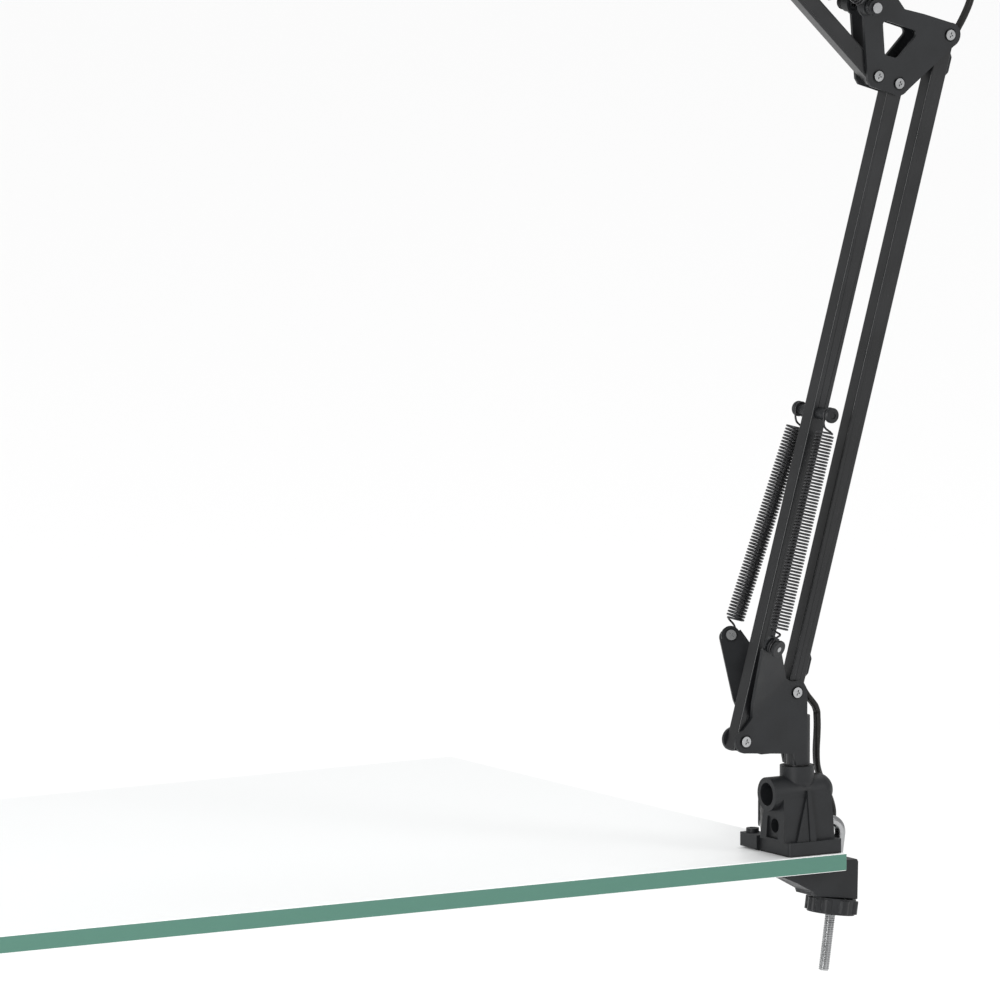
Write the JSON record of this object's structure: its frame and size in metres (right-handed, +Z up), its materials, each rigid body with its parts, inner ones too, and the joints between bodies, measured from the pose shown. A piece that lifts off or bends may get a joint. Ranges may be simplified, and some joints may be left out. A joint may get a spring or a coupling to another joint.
{
  "type": "desk lamp",
  "caption": "Clamp-on architect desk lamp: two spring-balanced parallelogram arms of square tube on a swivel post in a table clamp, with a tilting shade.",
  "frame": {"origin": "on the axis of the swivel post, at the underside of the base pad, where it rests on the table top", "axes": "+X points away from the table, in the plane of the arms at rest; +Z is up along the swivel axis; -Y faces the side with the screw heads"},
  "size_m": [0.4937, 0.2464, 0.8397],
  "materials": {
    "black_plastic": "fine textured black nylon",
    "black_paint": "satin black paint",
    "shade_paint": "satin black paint outside, white inside",
    "rubber": "matt black rubber",
    "zinc": "bright zinc plate",
    "black_steel": "blackened steel",
    "spring_steel": "blackened spring wire",
    "bush_plastic": "dark grey nylon",
    "cord_black": "soft black flex",
    "holder_plastic": "black moulded phenolic",
    "brass": "plain brass",
    "nickel": "nickel plate",
    "glass": "frosted white glass",
    "switch_grey": "dark grey moulded plastic"
  },
  "bodies": {
    "base": {"base_block": "black_plastic", "base_pad": "rubber", "clamp_rod": "zinc", "mains_cord": "cord_black", "mains_hank": "cord_black", "hank_tie": "black_plastic", "mains_plug": "black_plastic"},
    "clamp_jaw": {"clamp_jaw": "black_plastic"},
    "clamp_knob": {"clamp_knob": "black_plastic", "knob_nut": "zinc"},
    "lower_bracket": {"swivel_post": "black_steel", "lower_bracket_front": "black_plastic", "lower_bracket_rear": "black_plastic", "lower_screws": "zinc", "lower_nuts": "zinc", "lower_spools": "black_plastic", "cord_bar_exit": "cord_black"},
    "lower_rear_bar": {"lower_rear_bar": "black_paint", "lower_rear_bushes": "bush_plastic", "lower_cord_strips": "black_plastic", "cord_lower_run": "cord_black"},
    "lower_front_bar": {"lower_front_bar": "black_paint", "lower_front_bushes": "bush_plastic", "lower_cross_pin": "black_plastic", "lower_spring_front": "spring_steel", "lower_spring_rear": "spring_steel"},
    "elbow": {"elbow_plate_front": "black_plastic", "elbow_plate_rear": "black_plastic", "elbow_screws": "zinc", "elbow_nuts": "zinc", "elbow_spacer": "black_plastic", "elbow_spools": "black_plastic", "cord_elbow_loop": "cord_black"},
    "upper_front_bar": {"upper_front_bar": "black_paint", "upper_front_bushes": "bush_plastic", "upper_cross_pin": "black_plastic", "upper_spring_front": "spring_steel", "upper_spring_rear": "spring_steel"},
    "upper_rear_bar": {"upper_rear_bar": "black_paint", "upper_rear_bushes": "bush_plastic", "upper_cord_strips": "black_plastic", "cord_upper_run": "cord_black"},
    "head_bracket": {"head_plate_front": "black_plastic", "head_plate_rear": "black_plastic", "head_screws": "zinc", "head_nuts": "zinc", "head_housing": "black_plastic", "cord_head_loop": "cord_black"},
    "head_knuckle": {"head_knuckle": "zinc"},
    "head": {"shade": "shade_paint", "shade_cap": "black_plastic", "tilt_bolt": "zinc", "tilt_wing_nut": "black_plastic", "cord_gland": "black_plastic", "lamp_holder": "holder_plastic", "holder_sleeve": "brass", "bulb_glass": "glass", "bulb_base": "nickel"},
    "switch_button": {"switch_button": "switch_grey"}
  },
  "joints": [
    {"name": "base_swivel", "type": "hinge", "parent": "base", "child": "lower_bracket", "pos_m": [0, 0, 0.05], "axis": [0, 0, 1], "range_deg": [-150, 150], "deforming": ["mains_cord"]},
    {"name": "lower_arm_tilt", "type": "hinge", "parent": "lower_bracket", "child": "lower_rear_bar", "pos_m": [-0.0047, 0, 0.0909], "axis": [0, 1, 0], "range_deg": [-60, 18], "deforming": ["lower_spring_front", "lower_spring_rear", "cord_bar_exit"]},
    {"name": "lower_front_link", "type": "hinge", "parent": "lower_bracket", "child": "lower_front_bar", "pos_m": [-0.0384, 0, 0.0659], "axis": [0, 1, 0], "range_deg": [-60, 18]},
    {"name": "elbow_link", "type": "hinge", "parent": "lower_rear_bar", "child": "elbow", "pos_m": [0.09551, 0, 0.45226], "axis": [0, 1, 0], "range_deg": [-18, 60], "deforming": ["cord_elbow_loop"]},
    {"name": "upper_arm_tilt", "type": "hinge", "parent": "elbow", "child": "upper_rear_bar", "pos_m": [0.04621, 0, 0.48426], "axis": [0, 1, 0], "range_deg": [-45, 27], "deforming": ["upper_spring_front", "upper_spring_rear"]},
    {"name": "upper_front_link", "type": "hinge", "parent": "elbow", "child": "upper_front_bar", "pos_m": [0.04821, 0, 0.43226], "axis": [0, 1, 0], "range_deg": [-45, 27]},
    {"name": "head_link", "type": "hinge", "parent": "upper_rear_bar", "child": "head_bracket", "pos_m": [-0.21663, 0, 0.75173], "axis": [0, 1, 0], "range_deg": [-27, 45]},
    {"name": "head_swivel", "type": "hinge", "parent": "head_bracket", "child": "head_knuckle", "pos_m": [-0.24613, 0, 0.7], "axis": [0, 0, 1], "range_deg": [-60, 60], "deforming": ["cord_head_loop"]},
    {"name": "head_tilt", "type": "hinge", "parent": "head_knuckle", "child": "head", "pos_m": [-0.24613, 0, 0.68], "axis": [0, 1, 0], "range_deg": [-20, 60]},
    {"name": "switch_press", "type": "slide", "parent": "head", "child": "switch_button", "axis": [-0.342, 0, -0.9397], "range_m": [0, 0.003], "stiffness_N_per_m": 600, "springref_m": -0.001},
    {"name": "knob_turn", "type": "hinge", "parent": "clamp_jaw", "child": "clamp_knob", "pos_m": [0.02366, 0, -0.02663], "axis": [-0.1392, 0, -0.9903], "range_deg": [-2701, 10081]},
    {"name": "jaw_slide", "type": "slide", "parent": "base", "child": "clamp_jaw", "axis": [-0.1392, 0, -0.9903], "range_m": [-0.0075, 0.028]}
  ],
  "couplings": [
    {"joint": "lower_front_link", "follows": "lower_arm_tilt", "ratio": 1},
    {"joint": "elbow_link", "follows": "lower_arm_tilt", "ratio": -1},
    {"joint": "upper_front_link", "follows": "upper_arm_tilt", "ratio": 1},
    {"joint": "head_link", "follows": "upper_arm_tilt", "ratio": -1},
    {"joint": "knob_turn", "follows": "jaw_slide", "rad_per_m": 6283.2}
  ]
}
